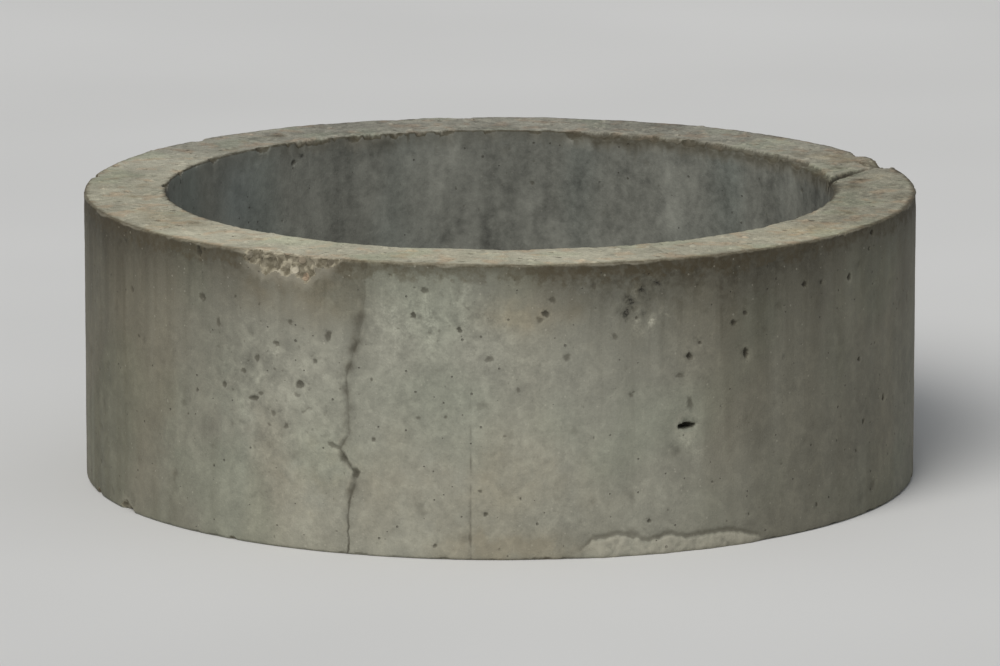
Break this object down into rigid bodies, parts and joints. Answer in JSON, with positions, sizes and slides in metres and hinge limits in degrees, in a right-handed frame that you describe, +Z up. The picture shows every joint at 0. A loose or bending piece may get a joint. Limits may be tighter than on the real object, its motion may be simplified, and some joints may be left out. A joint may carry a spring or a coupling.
{
  "type": "concrete culvert ring",
  "caption": "Short plain-ended precast concrete ring with a wide round bore and thick wall, struck flat top and moulded sides, lightly chipped, standing on its end.",
  "frame": {"origin": "centre of the bottom face, on the bore's axis", "axes": "+Z up along the bore's axis; -Y towards the front, the side that the picture shows"},
  "size_m": [0.75, 0.75, 0.26],
  "materials": {
    "concrete": "matte"
  },
  "bodies": {
    "root": {"concrete_ring": "concrete"}
  },
  "joints": []
}
